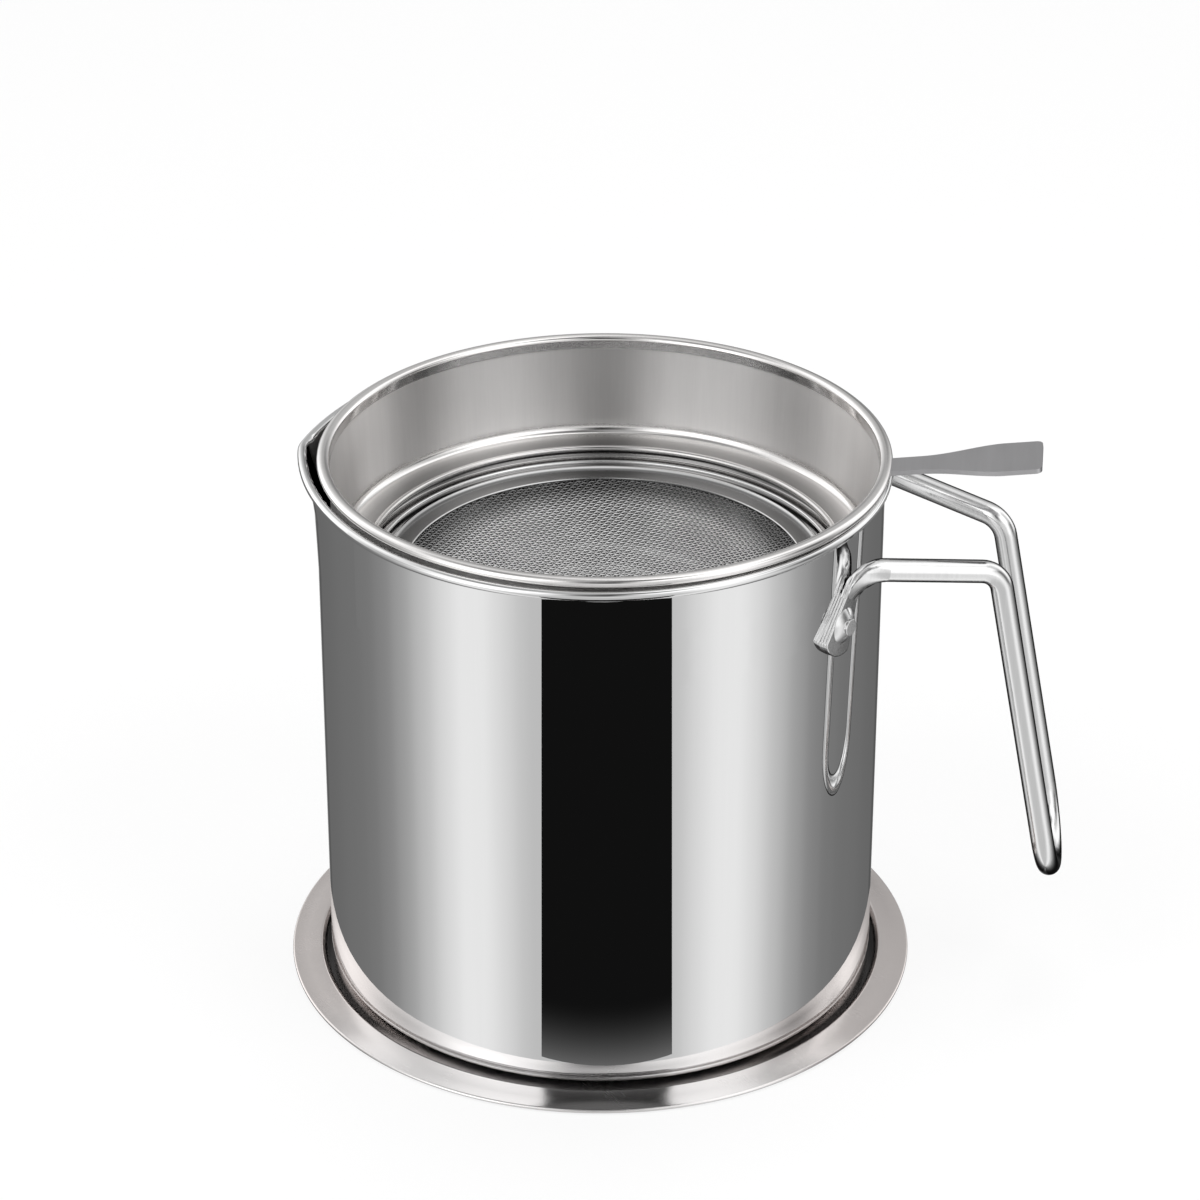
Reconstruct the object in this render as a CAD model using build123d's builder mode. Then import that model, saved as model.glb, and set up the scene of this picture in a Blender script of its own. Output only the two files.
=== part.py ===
from build123d import *
from math import cos, radians, sin, tan
import os

os.makedirs("parts", exist_ok=True)

# A two-litre bacon grease container in stainless sheet: a deep drawn pot with a rolled rim and a
# pressed pouring spout, a strainer that hangs in its mouth, a bent wire handle on two riveted
# lugs, and a shallow drip tray that the pot stands in.
#
# Frame: millimetres, +Z up. The origin is the centre of the tray's underside. The spout points
# along -X, and both handles along +X.

# ---- Driving dimensions -------------------------------------------------------------------

# Pot
POT_RADIUS = 69.6
POT_SHEET = 0.6
POT_BASE_Z = 0.8
POT_CORNER_RADIUS = 4.6
BASE_RECESS_RADIUS = 56.0
BASE_RECESS_DEPTH = 0.8
BASE_RECESS_SLOPE = 2.5
RIM_Z = 137.2
RIM_BEAD_RADIUS = 1.2

# Spout. Its lip and its throat leave the pot's circle at SPOUT_HALF_ANGLE from -X, and their
# flanks meet the rounded tip where their normals stand at SPOUT_TIP_ANGLE from -X.
SPOUT_HALF_ANGLE = 40.0
SPOUT_TIP_ANGLE = 9.0
LIP_FLANK_RADIUS = 88.7
THROAT_FLANK_RADIUS = 73.9
THROAT_DEPTH = 10.0
SPOUT_DEPTH = 25.0

# Strainer. It hangs loosely in the pot's mouth, a little towards the handle.
STRAINER_SHIFT = 1.0
STRAINER_RIM_Z = 140.0
STRAINER_RIM_RADIUS = 68.6
STRAINER_BEAD_WIDTH = 3.2
STRAINER_BEAD_HEIGHT = 2.6
STRAINER_SHEET = 0.5
STRAINER_WALL_TOP = 67.1
STRAINER_WALL_FOOT = 65.9
SHOULDER_DEPTH = 25.2
SHOULDER_RADIUS = 2.6
LEDGE_DROP = 1.3
LEDGE_BEAD_RADIUS = 0.9
STEP_RADIUS = 58.3
SEAT_DEPTH = 30.4
SEAT_INNER_RADIUS = 54.5

# Mesh and the two rings that clamp it
FRAME_OUTER_RADIUS = 57.6
FRAME_CURL_RADIUS = 0.5
FRAME_INNER_RADIUS = 49.5
FRAME_DROP = 1.0
CLAMP_WIDTH = 3.2
MESH_THICKNESS = 0.5
MESH_DISH = 3.0
MESH_PITCH = 8.2
MESH_OPENING = 6.0
MESH_COUNT = 12
MESH_MARGIN = 1.2

# Strainer handle
BLADE_LENGTH = 37.9
BLADE_ROOT_WIDTH = 7.6
BLADE_TIP_WIDTH = 15.8
BLADE_NECK_LENGTH = 8.0
BLADE_FLARE_END = 28.0
BLADE_THICKNESS = 1.2
BLADE_TIP_RADIUS = 1.6
BLADE_RISE_ANGLE = 7.5

# Pot handle
ROD_DIAMETER = 5.7
ROD_SPACING = 28.5
HANDLE_TOP_X = 98.4
HANDLE_TOP_Z = 120.7
HANDLE_FOOT_X = 114.8
HANDLE_FOOT_Z = 33.5
TOP_BEND_RADIUS = 6.5
FOOT_BEND_RADIUS = 14.0
LUG_BEND_RADIUS = 9.5

# Handle lugs and rivets
LUG_AZIMUTH = 29.1
LUG_LEAN = 28.0
LUG_THICKNESS = 2.0
LUG_TOP = 7.2
LUG_TOP_WIDTH = 5.2
LUG_TAPER_ANGLE = 12.2
LUG_END_RADIUS = 7.8
LUG_CORNER_RADIUS = 1.2
LUG_EDGE_RADIUS = 0.35
LUG_TO_BEND = 13.6
LUG_WALL_ALLOWANCE = 0.5
NECK_WIDTH = 5.4
NECK_THICKNESS = 1.7
NECK_CROWN = 0.1
NECK_STATIONS = 5
RIVET_Z = 114.6
RIVET_HEAD_RADIUS = 4.4
RIVET_HEAD_HEIGHT = 1.6
RIVET_NUB_RADIUS = 2.1
RIVET_NUB_HEIGHT = 0.4
RIVET_SHANK_RADIUS = 2.2
RIVET_HOLE_RADIUS = 2.3
RIVET_INNER_RADIUS = 4.2
RIVET_INNER_HEIGHT = 1.0

# Drip tray
TRAY_RADIUS = 79.7
TRAY_SHEET = 0.6
TRAY_RECESS_RADIUS = 71.4
TRAY_RIM_Z = 2.3
TRAY_RIM_FALL = 0.9
TRAY_BEAD_RADIUS = 0.5
TRAY_BEAD_Z = 0.9
TRAY_FILLET = 0.7


# ---- Drip tray ----------------------------------------------------------------------------

# One disc of sheet: a flat floor, a short step up round the pot's base, a wide rim that falls a
# little outwards, and a rolled edge that stays just off the table.
tray_bead_x = TRAY_RADIUS - TRAY_BEAD_RADIUS
rim_inner_x = TRAY_RECESS_RADIUS + TRAY_SHEET
with BuildPart() as drip_tray:
    with BuildSketch(Plane.XZ):
        with BuildLine():
            Polyline(
                (0, 0),
                (TRAY_RECESS_RADIUS, 0),
                (rim_inner_x, TRAY_RIM_Z - TRAY_SHEET),
                (tray_bead_x, TRAY_RIM_Z - TRAY_RIM_FALL - TRAY_SHEET),
                (tray_bead_x, TRAY_RIM_Z - TRAY_RIM_FALL),
                (rim_inner_x, TRAY_RIM_Z),
                (TRAY_RECESS_RADIUS - TRAY_SHEET, TRAY_SHEET),
                (0, TRAY_SHEET),
                close=True,
            )
        make_face()
        with Locations((tray_bead_x, TRAY_BEAD_Z)):
            Circle(TRAY_BEAD_RADIUS)
    revolve(axis=Axis.Z)
    circles = drip_tray.edges().filter_by(GeomType.CIRCLE)
    step_edges = circles.filter_by(
        lambda edge: TRAY_RECESS_RADIUS < edge.radius < rim_inner_x + TRAY_FILLET
    )
    fillet(step_edges.group_by(Axis.Z)[-1], TRAY_FILLET)
drip_tray.part.label = "drip_tray"
export_step(drip_tray.part, "parts/drip_tray.step")


# ---- Pot shell ----------------------------------------------------------------------------

def spout_outline(flank_radius, inset):
    """The pot's plan outline through its spout, inset by a distance: most of a circle, two long
    flank arcs that leave it tangentially, and the tip arc that joins them."""
    shift = flank_radius - POT_RADIUS
    flank_x = shift * cos(radians(SPOUT_HALF_ANGLE))
    flank_y = shift * sin(radians(SPOUT_HALF_ANGLE))
    tip_radius = flank_radius - flank_y / sin(radians(SPOUT_TIP_ANGLE))
    tip_x = flank_x - (flank_radius - tip_radius) * cos(radians(SPOUT_TIP_ANGLE))
    round_start = SPOUT_HALF_ANGLE - 180
    flank_size = SPOUT_HALF_ANGLE - SPOUT_TIP_ANGLE
    CenterArc((0, 0), POT_RADIUS - inset, round_start, 360 - 2 * SPOUT_HALF_ANGLE)
    CenterArc((flank_x, -flank_y), flank_radius - inset, -round_start, flank_size)
    CenterArc((tip_x, 0), tip_radius - inset, 180 - SPOUT_TIP_ANGLE, 2 * SPOUT_TIP_ANGLE)
    CenterArc((flank_x, flank_y), flank_radius - inset, 180 + SPOUT_TIP_ANGLE, flank_size)


def spouted_pot(inset):
    """The pot as a solid block, inset by a distance, from its base to its lip."""
    root_z = RIM_Z - SPOUT_DEPTH
    base_z = POT_BASE_Z + inset
    with BuildLine(Plane.XY.offset(root_z)) as root:
        CenterArc((0, 0), POT_RADIUS - inset, 0, 360)
    with BuildLine(Plane.XY.offset(RIM_Z - THROAT_DEPTH)) as throat:
        spout_outline(THROAT_FLANK_RADIUS, inset)
    with BuildLine(Plane.XY.offset(RIM_Z)) as lip:
        spout_outline(LIP_FLANK_RADIUS, inset)
    with BuildPart() as block:
        with BuildSketch(Plane.XY.offset(base_z)):
            Circle(POT_RADIUS - inset)
        extrude(amount=root_z - base_z)
        fillet(block.edges().group_by(Axis.Z)[0], POT_CORNER_RADIUS - inset)
        add(Solid.make_loft([root.wire(), throat.wire(), lip.wire()], ruled=True))
    return block.part


def base_recess(z):
    """The shallow round recess pressed up into a base, as a cone's frustum on the plane z."""
    with BuildPart() as recess:
        with BuildSketch(Plane.XY.offset(z)):
            Circle(BASE_RECESS_RADIUS)
        with BuildSketch(Plane.XY.offset(z + BASE_RECESS_DEPTH)):
            Circle(BASE_RECESS_RADIUS - BASE_RECESS_SLOPE)
        loft()
    return recess.part


lug_face_radius = POT_RADIUS + LUG_THICKNESS


def lug_plane(side, radius, along=0.0):
    """A plane square to the pot's wall at a lug. x runs across the lug, y up along it, and the
    normal points outwards. side is -1 for the front lug and +1 for the rear one; along is the
    distance from the rivet up the lug."""
    azimuth = radians(side * LUG_AZIMUTH)
    lean = radians(LUG_LEAN)
    outward = Vector(cos(azimuth), sin(azimuth), 0)
    inboard = Vector(side * sin(azimuth), -side * cos(azimuth), 0)
    up = inboard * sin(lean) + Vector(0, 0, 1) * cos(lean)
    origin = outward * radius + Vector(0, 0, RIVET_Z) + up * along
    return Plane(origin=origin, x_dir=up.cross(outward), z_dir=outward)


outer_block = spouted_pot(0)
inner_block = spouted_pot(POT_SHEET)
outer_recess = base_recess(POT_BASE_Z)
inner_recess = base_recess(POT_BASE_Z + POT_SHEET)
with BuildPart() as pot_shell:
    add(outer_block)
    add(outer_recess, mode=Mode.SUBTRACT)
    add(inner_block - inner_recess, mode=Mode.SUBTRACT)
    # The lip is rolled outwards into a bead that follows the spout. The inside of the wall runs
    # on round the bead.
    with BuildLine(Plane.XY.offset(RIM_Z)) as lip_line:
        spout_outline(LIP_FLANK_RADIUS, POT_SHEET - RIM_BEAD_RADIUS)
    lip_path = lip_line.wire()
    with BuildSketch(Plane(origin=lip_path @ 0, z_dir=lip_path % 0)):
        Circle(RIM_BEAD_RADIUS)
    sweep(path=lip_path)
    # A clearance hole for each handle rivet.
    for side in (-1, 1):
        with BuildSketch(lug_plane(side, lug_face_radius)):
            Circle(RIVET_HOLE_RADIUS)
        extrude(amount=-2 * LUG_THICKNESS, mode=Mode.SUBTRACT)
pot_shell.part.label = "pot_shell"
export_step(pot_shell.part, "parts/pot_shell.step")


# ---- Handle wire --------------------------------------------------------------------------

# One rod, bent into a loop. From the bend above each lug it runs out to a corner, drops along the
# grip and turns through the U at the foot.
half = ROD_SPACING / 2
rod_radius = ROD_DIAMETER / 2


def neck_line(side):
    """The arc that the rod's centre line follows from the lug on one side to the handle's arm."""
    middle = POT_RADIUS + LUG_THICKNESS / 2
    line = FilletPolyline(
        lug_plane(side, middle).origin,
        lug_plane(side, middle, LUG_TO_BEND).origin,
        (HANDLE_TOP_X, side * half, HANDLE_TOP_Z),
        radius=LUG_BEND_RADIUS,
    )
    return line.edges().filter_by(GeomType.CIRCLE)[0]


def neck_outline(share):
    """A section of the neck, from the flattened lug at share 0 to the round rod at share 1: four
    arcs between corners that fade out as the section grows round."""
    round_corner = share * rod_radius * cos(radians(45))
    corner_x = (1 - share) * NECK_WIDTH / 2 + round_corner
    corner_y = (1 - share) * NECK_THICKNESS / 2 + round_corner
    crest_x = (1 - share) * (NECK_WIDTH / 2 + NECK_CROWN) + share * rod_radius
    crest_y = (1 - share) * (NECK_THICKNESS / 2 + NECK_CROWN) + share * rod_radius
    ThreePointArc((corner_x, -corner_y), (crest_x, 0), (corner_x, corner_y))
    ThreePointArc((corner_x, corner_y), (0, crest_y), (-corner_x, corner_y))
    ThreePointArc((-corner_x, corner_y), (-crest_x, 0), (-corner_x, -corner_y))
    ThreePointArc((-corner_x, -corner_y), (0, -crest_y), (corner_x, -corner_y))


necks = {side: neck_line(side) for side in (-1, 1)}
# The lug's straight sides run on past its round end, which cuts them off.
taper_length = LUG_TOP + LUG_END_RADIUS + LUG_THICKNESS
taper_half = LUG_TOP_WIDTH / 2 + taper_length * tan(radians(LUG_TAPER_ANGLE))
with BuildPart() as handle_wire:
    with BuildLine() as rod_line:
        FilletPolyline(
            necks[-1] @ 1,
            (HANDLE_TOP_X, -half, HANDLE_TOP_Z),
            (HANDLE_FOOT_X, -half, HANDLE_FOOT_Z),
            (HANDLE_FOOT_X, half, HANDLE_FOOT_Z),
            (HANDLE_TOP_X, half, HANDLE_TOP_Z),
            necks[1] @ 1,
            radius=[TOP_BEND_RADIUS, FOOT_BEND_RADIUS, FOOT_BEND_RADIUS, TOP_BEND_RADIUS],
        )
    rod_path = rod_line.wire()
    with BuildSketch(Plane(origin=rod_path @ 0, z_dir=rod_path % 0)):
        Circle(rod_radius)
    sweep(path=rod_path)
    for side, neck in necks.items():
        flat = lug_plane(side, POT_RADIUS)
        # The rod's end is flattened into a lug that widens to a round end about the rivet.
        with BuildSketch(flat.offset(-LUG_WALL_ALLOWANCE)) as lug_outline:
            with BuildLine():
                Polyline(
                    (-LUG_TOP_WIDTH / 2, LUG_TOP),
                    (LUG_TOP_WIDTH / 2, LUG_TOP),
                    (taper_half, LUG_TOP - taper_length),
                    (-taper_half, LUG_TOP - taper_length),
                    close=True,
                )
            make_face()
            Circle(LUG_END_RADIUS, mode=Mode.INTERSECT)
            fillet(lug_outline.vertices().group_by(Axis.Y)[0], LUG_CORNER_RADIUS)
        extrude(amount=LUG_THICKNESS + LUG_WALL_ALLOWANCE)
        outwards = Axis(flat.origin, flat.z_dir)
        fillet(handle_wire.edges(Select.LAST).group_by(outwards)[-1], LUG_EDGE_RADIUS)
        # The neck carries the section from the lug, through the bend, to the rod.
        for station in range(NECK_STATIONS):
            share = station / (NECK_STATIONS - 1)
            along = neck % share
            across = along.cross(flat.z_dir)
            with BuildSketch(Plane(origin=neck @ share, x_dir=across, z_dir=along)):
                with BuildLine():
                    neck_outline(share)
                make_face()
        loft()
        with BuildSketch(flat.offset(-LUG_WALL_ALLOWANCE)):
            Circle(RIVET_HOLE_RADIUS)
        extrude(amount=2 * LUG_THICKNESS, mode=Mode.SUBTRACT)
    # The lugs' backs are curved to lie on the pot's wall.
    with BuildSketch():
        Circle(POT_RADIUS)
    extrude(amount=RIM_Z, mode=Mode.SUBTRACT)
handle_wire.part.label = "handle_wire"
export_step(handle_wire.part, "parts/handle_wire.step")


# ---- Rivets -------------------------------------------------------------------------------

# A domed head with a small peened nub bears on the lug, the shank fills the holes, and a low
# head clenches the wall from inside.
dome_radius = (RIVET_HEAD_RADIUS**2 + RIVET_HEAD_HEIGHT**2) / (2 * RIVET_HEAD_HEIGHT)
for side, name in ((-1, "rivet_front"), (1, "rivet_rear")):
    seat = lug_plane(side, lug_face_radius)
    with BuildPart() as rivet:
        with BuildSketch(lug_plane(side, POT_RADIUS)):
            Circle(RIVET_INNER_RADIUS)
        extrude(amount=-(POT_SHEET + RIVET_INNER_HEIGHT))
        # The inner head follows the wall's inside.
        with BuildSketch(Plane.XY.offset(POT_BASE_Z)):
            Circle(POT_RADIUS + RIVET_INNER_HEIGHT)
            Circle(POT_RADIUS - POT_SHEET, mode=Mode.SUBTRACT)
        extrude(amount=RIM_Z, mode=Mode.SUBTRACT)
        with BuildSketch(Plane(origin=seat.origin, x_dir=seat.x_dir, z_dir=-seat.y_dir)):
            with BuildLine():
                Line((0, 0), (RIVET_HEAD_RADIUS, 0))
                RadiusArc((RIVET_HEAD_RADIUS, 0), (0, RIVET_HEAD_HEIGHT), -dome_radius)
                Line((0, RIVET_HEAD_HEIGHT), (0, 0))
            make_face()
        revolve(axis=Axis(seat.origin, seat.z_dir))
        with BuildSketch(seat):
            Circle(RIVET_NUB_RADIUS)
        extrude(amount=RIVET_HEAD_HEIGHT + RIVET_NUB_HEIGHT)
        nub_edge = rivet.edges().sort_by(Axis(seat.origin, seat.z_dir))[-1]
        fillet(nub_edge, RIVET_NUB_HEIGHT / 2)
        with BuildSketch(seat):
            Circle(RIVET_SHANK_RADIUS)
        extrude(amount=-(LUG_THICKNESS + POT_SHEET + RIVET_INNER_HEIGHT / 2))
    rivet.part.label = name
    export_step(rivet.part, f"parts/{name}.step")


# ---- Strainer cup -------------------------------------------------------------------------

# A drawn cup that hangs by its rolled rim. Its wall turns in at a shoulder to a ledge, the ledge
# ends in a bead, and a short step below the bead leads to the inward seat for the mesh.
strainer_axis = Axis((STRAINER_SHIFT, 0, 0), (0, 0, 1))
strainer_plane = Plane(strainer_axis.position, x_dir=(1, 0, 0), z_dir=(0, -1, 0))
rim_z = STRAINER_RIM_Z
shoulder_z = rim_z - SHOULDER_DEPTH
ledge_end_z = shoulder_z - LEDGE_DROP
seat_z = rim_z - SEAT_DEPTH
sheet = STRAINER_SHEET
with BuildPart() as strainer_cup:
    with BuildSketch(strainer_plane):
        with BuildLine():
            Polyline(
                (STRAINER_WALL_TOP, rim_z),
                (STRAINER_WALL_FOOT, shoulder_z),
                (STEP_RADIUS, ledge_end_z),
                (STEP_RADIUS, seat_z),
                (SEAT_INNER_RADIUS, seat_z),
                (SEAT_INNER_RADIUS, seat_z - sheet),
                (STEP_RADIUS + sheet, seat_z - sheet),
                (STEP_RADIUS + sheet, ledge_end_z - sheet),
                (STRAINER_WALL_FOOT + sheet, shoulder_z - sheet),
                (STRAINER_WALL_TOP + sheet, rim_z),
                close=True,
            )
        make_face()
    revolve(axis=strainer_axis)
    circles = strainer_cup.edges().filter_by(GeomType.CIRCLE)
    shoulder_edges = circles.filter_by(
        lambda edge: STRAINER_WALL_FOOT - sheet < edge.radius < STRAINER_WALL_TOP
    ).sort_by(Axis.Z)
    fillet(shoulder_edges[0], SHOULDER_RADIUS + sheet)
    fillet(shoulder_edges[-1], SHOULDER_RADIUS)
    with BuildSketch(strainer_plane):
        with Locations((STRAINER_RIM_RADIUS, rim_z)):
            Ellipse(STRAINER_BEAD_WIDTH / 2, STRAINER_BEAD_HEIGHT / 2)
        with Locations((STEP_RADIUS + sheet / 2, ledge_end_z - sheet / 2)):
            Circle(LEDGE_BEAD_RADIUS)
    revolve(axis=strainer_axis)
strainer_cup.part.label = "strainer_cup"
export_step(strainer_cup.part, "parts/strainer_cup.step")


# ---- Mesh and its rings -------------------------------------------------------------------

# The upper ring lies on the cup's seat, slopes down inwards and ends in a flat band. The mesh is
# a shallow dished disc whose flat edge is clamped between that band and a ring below it.
band_z = seat_z - FRAME_DROP
band_outer = FRAME_INNER_RADIUS + CLAMP_WIDTH
with BuildPart() as mesh_frame:
    with BuildSketch(strainer_plane):
        with BuildLine():
            Polyline(
                (FRAME_OUTER_RADIUS, seat_z),
                (FRAME_OUTER_RADIUS, seat_z + sheet),
                (SEAT_INNER_RADIUS, seat_z + sheet),
                (band_outer, band_z + sheet),
                (FRAME_INNER_RADIUS, band_z + sheet),
                (FRAME_INNER_RADIUS, band_z),
                (band_outer, band_z),
                (SEAT_INNER_RADIUS, seat_z),
                close=True,
            )
        make_face()
        with Locations((FRAME_OUTER_RADIUS - FRAME_CURL_RADIUS, seat_z + sheet)):
            Circle(FRAME_CURL_RADIUS)
    revolve(axis=strainer_axis)
mesh_frame.part.label = "mesh_frame"
export_step(mesh_frame.part, "parts/mesh_frame.step")

mesh_bottom_z = band_z - MESH_THICKNESS
dish_radius = (FRAME_INNER_RADIUS**2 + MESH_DISH**2) / (2 * MESH_DISH)
with BuildPart() as strainer_mesh:
    with BuildSketch(strainer_plane):
        with BuildLine():
            Line((0, band_z - MESH_DISH), (0, mesh_bottom_z - MESH_DISH))
            RadiusArc(
                (0, mesh_bottom_z - MESH_DISH),
                (FRAME_INNER_RADIUS, mesh_bottom_z),
                -dish_radius,
            )
            Line((FRAME_INNER_RADIUS, mesh_bottom_z), (band_outer, mesh_bottom_z))
            Line((band_outer, mesh_bottom_z), (band_outer, band_z))
            Line((band_outer, band_z), (FRAME_INNER_RADIUS, band_z))
            RadiusArc((FRAME_INNER_RADIUS, band_z), (0, band_z - MESH_DISH), dish_radius)
        make_face()
    revolve(axis=strainer_axis)
    with BuildSketch(Plane((STRAINER_SHIFT, 0, mesh_bottom_z - MESH_DISH))):
        with GridLocations(MESH_PITCH, MESH_PITCH, MESH_COUNT, MESH_COUNT):
            Rectangle(MESH_OPENING, MESH_OPENING)
        Circle(FRAME_INNER_RADIUS - MESH_MARGIN, mode=Mode.INTERSECT)
    extrude(amount=MESH_DISH + MESH_THICKNESS, mode=Mode.SUBTRACT)
strainer_mesh.part.label = "strainer_mesh"
export_step(strainer_mesh.part, "parts/strainer_mesh.step")

with BuildPart() as mesh_clamp_ring:
    with BuildSketch(Plane((STRAINER_SHIFT, 0, mesh_bottom_z - sheet))):
        Circle(band_outer)
        Circle(FRAME_INNER_RADIUS, mode=Mode.SUBTRACT)
    extrude(amount=sheet)
mesh_clamp_ring.part.label = "mesh_clamp_ring"
export_step(mesh_clamp_ring.part, "parts/mesh_clamp_ring.step")


# ---- Strainer handle ----------------------------------------------------------------------

# A flat blade, welded end-on to the outside of the cup's bead. It rises outwards, with a narrow
# neck that flares to a wide tip.
blade_plane = Plane(
    origin=(STRAINER_SHIFT + STRAINER_RIM_RADIUS, 0, rim_z),
    x_dir=Vector(1, 0, 0).rotate(Axis.Y, -BLADE_RISE_ANGLE),
    z_dir=Vector(0, 0, 1).rotate(Axis.Y, -BLADE_RISE_ANGLE),
)
with BuildPart() as strainer_blade:
    with BuildSketch(blade_plane.offset(-BLADE_THICKNESS / 2)) as blade_outline:
        with BuildLine():
            Line((0, 0), (0, BLADE_ROOT_WIDTH / 2))
            Line((0, BLADE_ROOT_WIDTH / 2), (BLADE_NECK_LENGTH, BLADE_ROOT_WIDTH / 2))
            Spline(
                (BLADE_NECK_LENGTH, BLADE_ROOT_WIDTH / 2),
                (BLADE_FLARE_END, BLADE_TIP_WIDTH / 2),
                tangents=[(1, 0), (1, 0.1)],
            )
            Line((BLADE_FLARE_END, BLADE_TIP_WIDTH / 2), (BLADE_LENGTH, BLADE_TIP_WIDTH / 2))
            Line((BLADE_LENGTH, BLADE_TIP_WIDTH / 2), (BLADE_LENGTH, 0))
            mirror(about=Plane.XZ)
        make_face()
        fillet(blade_outline.vertices().group_by(Axis.X)[-1], BLADE_TIP_RADIUS)
    extrude(amount=BLADE_THICKNESS)
    with BuildSketch(strainer_plane):
        with Locations((STRAINER_RIM_RADIUS, rim_z)):
            Ellipse(STRAINER_BEAD_WIDTH / 2, STRAINER_BEAD_HEIGHT / 2)
        with Locations((STRAINER_RIM_RADIUS - STRAINER_BEAD_WIDTH / 2, rim_z)):
            Rectangle(STRAINER_BEAD_WIDTH, STRAINER_BEAD_HEIGHT)
    revolve(axis=strainer_axis, mode=Mode.SUBTRACT)
strainer_blade.part.label = "strainer_blade"
export_step(strainer_blade.part, "parts/strainer_blade.step")
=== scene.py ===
import math

import bpy
from mathutils import Matrix, Vector


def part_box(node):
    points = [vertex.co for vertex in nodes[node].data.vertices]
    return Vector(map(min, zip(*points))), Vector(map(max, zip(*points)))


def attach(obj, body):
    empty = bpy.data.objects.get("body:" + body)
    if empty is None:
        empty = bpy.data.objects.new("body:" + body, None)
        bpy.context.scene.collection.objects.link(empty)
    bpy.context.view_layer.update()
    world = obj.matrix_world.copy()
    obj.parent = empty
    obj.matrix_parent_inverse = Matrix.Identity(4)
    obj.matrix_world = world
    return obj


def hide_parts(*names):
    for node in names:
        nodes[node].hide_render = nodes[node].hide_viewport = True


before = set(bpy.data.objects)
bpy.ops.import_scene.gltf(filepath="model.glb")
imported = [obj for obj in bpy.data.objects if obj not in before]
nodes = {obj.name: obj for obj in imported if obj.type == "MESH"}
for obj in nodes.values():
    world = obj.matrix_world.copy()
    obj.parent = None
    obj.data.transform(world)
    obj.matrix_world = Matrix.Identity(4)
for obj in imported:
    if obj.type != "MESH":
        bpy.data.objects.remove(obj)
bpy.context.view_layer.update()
MM = 0.001


# ---- Camera -----------------------------------------------------------------------------------

CAMERA_PLACE = Vector((0.1045, -0.8765, 0.5633))
CAMERA_TARGET = Vector((-0.0001, 0.0, 0.0994))
SENSOR_WIDTH = 36
LENS = 120.3
# How far the camera stands to the right of the pot's front, which the studio is turned by too.
FRONT_TURN = math.radians(6.8)

bpy.ops.object.select_all(action="DESELECT")
camera_data = bpy.data.cameras.new("camera")
camera_data.sensor_width = SENSOR_WIDTH
camera_data.lens = LENS
camera_data.clip_start = 0.01
camera = bpy.data.objects.new("camera", camera_data)
bpy.context.scene.collection.objects.link(camera)
camera.location = CAMERA_PLACE
camera.rotation_euler = (CAMERA_TARGET - CAMERA_PLACE).to_track_quat("-Z", "Y").to_euler()
bpy.context.scene.camera = camera


# ---- Node helpers -------------------------------------------------------------------------------

def set_input(tree, socket, value):
    """Links a socket to an input, or writes a constant into it."""
    if isinstance(value, bpy.types.NodeSocket):
        tree.links.new(value, socket)
    else:
        socket.default_value = value


def add_node(tree, kind, sockets=None, **settings):
    """A node with its settings and the constants or links of its input sockets."""
    made = tree.nodes.new(kind)
    for name, value in settings.items():
        setattr(made, name, value)
    for name, value in (sockets or {}).items():
        set_input(tree, made.inputs[name], value)
    return made


def maths(tree, operation, *values):
    return add_node(tree, "ShaderNodeMath", dict(enumerate(values)), operation=operation).outputs[0]


def map_range(tree, value, low, high, to_low=0.0, to_high=1.0, smooth=True):
    sockets = {"Value": value, "From Min": low, "From Max": high, "To Min": to_low, "To Max": to_high}
    made = add_node(tree, "ShaderNodeMapRange", sockets,
                    interpolation_type="SMOOTHSTEP" if smooth else "LINEAR")
    return made.outputs["Result"]


def mix_colour(tree, factor, first, second):
    """A mix of two colours. The node's sockets share their names, so they go by number."""
    return add_node(tree, "ShaderNodeMix", {0: factor, 6: first, 7: second}, data_type="RGBA").outputs[2]


def coordinates(tree, place):
    """The X, Y and Z outputs of a place."""
    return add_node(tree, "ShaderNodeSeparateXYZ", {"Vector": place}).outputs


def grey(value):
    return (value, value, value, 1.0)


def tone_ramp(tree, place, stops, interpolation="CARDINAL"):
    """A ramp of greys: (place, tone) stops. The ramp itself holds no more than 1, so it is scaled."""
    brightest = max(tone for position, tone in stops)
    made = add_node(tree, "ShaderNodeValToRGB", {"Fac": place})
    made.color_ramp.interpolation = interpolation
    elements = made.color_ramp.elements
    for index, (position, tone) in enumerate(stops):
        element = elements[index] if index < 2 else elements.new(position)
        element.position = position
        element.color = grey(tone / brightest)
    return add_node(tree, "ShaderNodeVectorMath", {0: made.outputs["Color"], "Scale": brightest},
                    operation="SCALE").outputs[0]


def tones_by_distance(tree, distance, stops):
    """Straight steps between greys along a distance: (mm, tone) stops."""
    first, last = stops[0][0], stops[-1][0]
    share = map_range(tree, distance, first * MM, last * MM, smooth=False)
    placed = [((mm - first) / (last - first), tone) for mm, tone in stops]
    return tone_ramp(tree, share, placed, "LINEAR")


# ---- World: the studio that the steel mirrors ----------------------------------------------------

# Tones below the horizon, from the front (0) round either side to the back (1).
TONES_BELOW = (
    (0.0, 0.60), (0.155, 0.63), (0.195, 0.74), (0.25, 0.92), (0.295, 0.98), (0.34, 0.93), (0.40, 0.72),
    (0.46, 0.50), (0.52, 0.335), (0.58, 0.245), (0.64, 0.205), (0.76, 0.175), (0.88, 0.15), (0.93, 0.16),
    (0.97, 0.75), (1.0, 0.85))
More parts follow.
